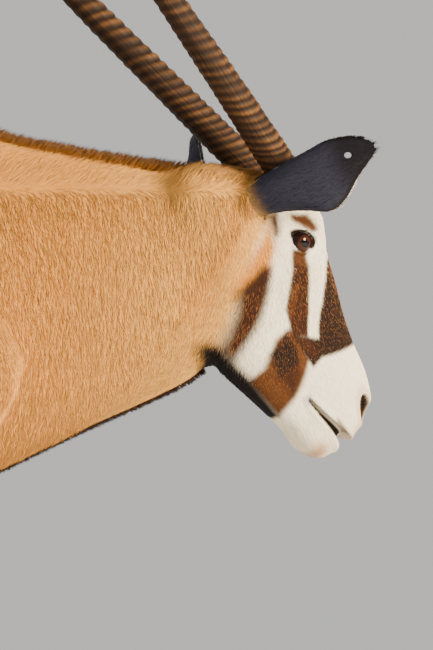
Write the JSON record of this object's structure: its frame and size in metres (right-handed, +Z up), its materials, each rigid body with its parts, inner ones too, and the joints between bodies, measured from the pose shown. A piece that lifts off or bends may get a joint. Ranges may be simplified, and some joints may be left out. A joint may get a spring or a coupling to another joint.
{
  "type": "gemsbok",
  "caption": "Still life-size gemsbok standing on all four feet, head lowered and turned to its left, long ringed horns swept back.",
  "frame": {"origin": "on the floor under the middle of the model's box", "axes": "+X forward along the body, +Y to the animal's left, +Z up"},
  "size_m": [1.7456, 0.7498, 1.7408],
  "materials": {
    "body_coat": "short fawn hair that lies flat, with a dark crest and dark flank stripe",
    "face_coat": "very short white hair with dark brown face marks",
    "leg_coat": "very short white hair with a dark patch down the front of the shank",
    "tuft_hair": "long coarse black hair",
    "horn_sheath": "worn dark horn, ringed over its lower two thirds and smooth above",
    "hoof_horn": "dull dark hoof horn, worn paler at the edge",
    "eye_surface": "wet and glossy, dark brown"
  },
  "bodies": {
    "root": {"torso": "body_coat", "neck": "body_coat", "head": "face_coat", "ear_right": "body_coat", "ear_left": "body_coat", "eye_right": "eye_surface", "eye_left": "eye_surface", "horn_right": "horn_sheath", "horn_left": "horn_sheath", "foreleg_right_upper": "body_coat", "foreleg_right_lower": "leg_coat", "foreleg_right_claw_outer": "hoof_horn", "foreleg_right_claw_inner": "hoof_horn", "foreleg_left_upper": "body_coat", "foreleg_left_lower": "leg_coat", "foreleg_left_claw_outer": "hoof_horn", "foreleg_left_claw_inner": "hoof_horn", "hindleg_right_upper": "body_coat", "hindleg_right_lower": "leg_coat", "hindleg_right_claw_outer": "hoof_horn", "hindleg_right_claw_inner": "hoof_horn", "hindleg_left_upper": "body_coat", "hindleg_left_lower": "leg_coat", "hindleg_left_claw_outer": "hoof_horn", "hindleg_left_claw_inner": "hoof_horn", "tail": "body_coat", "tail_tuft": "tuft_hair"}
  },
  "joints": []
}
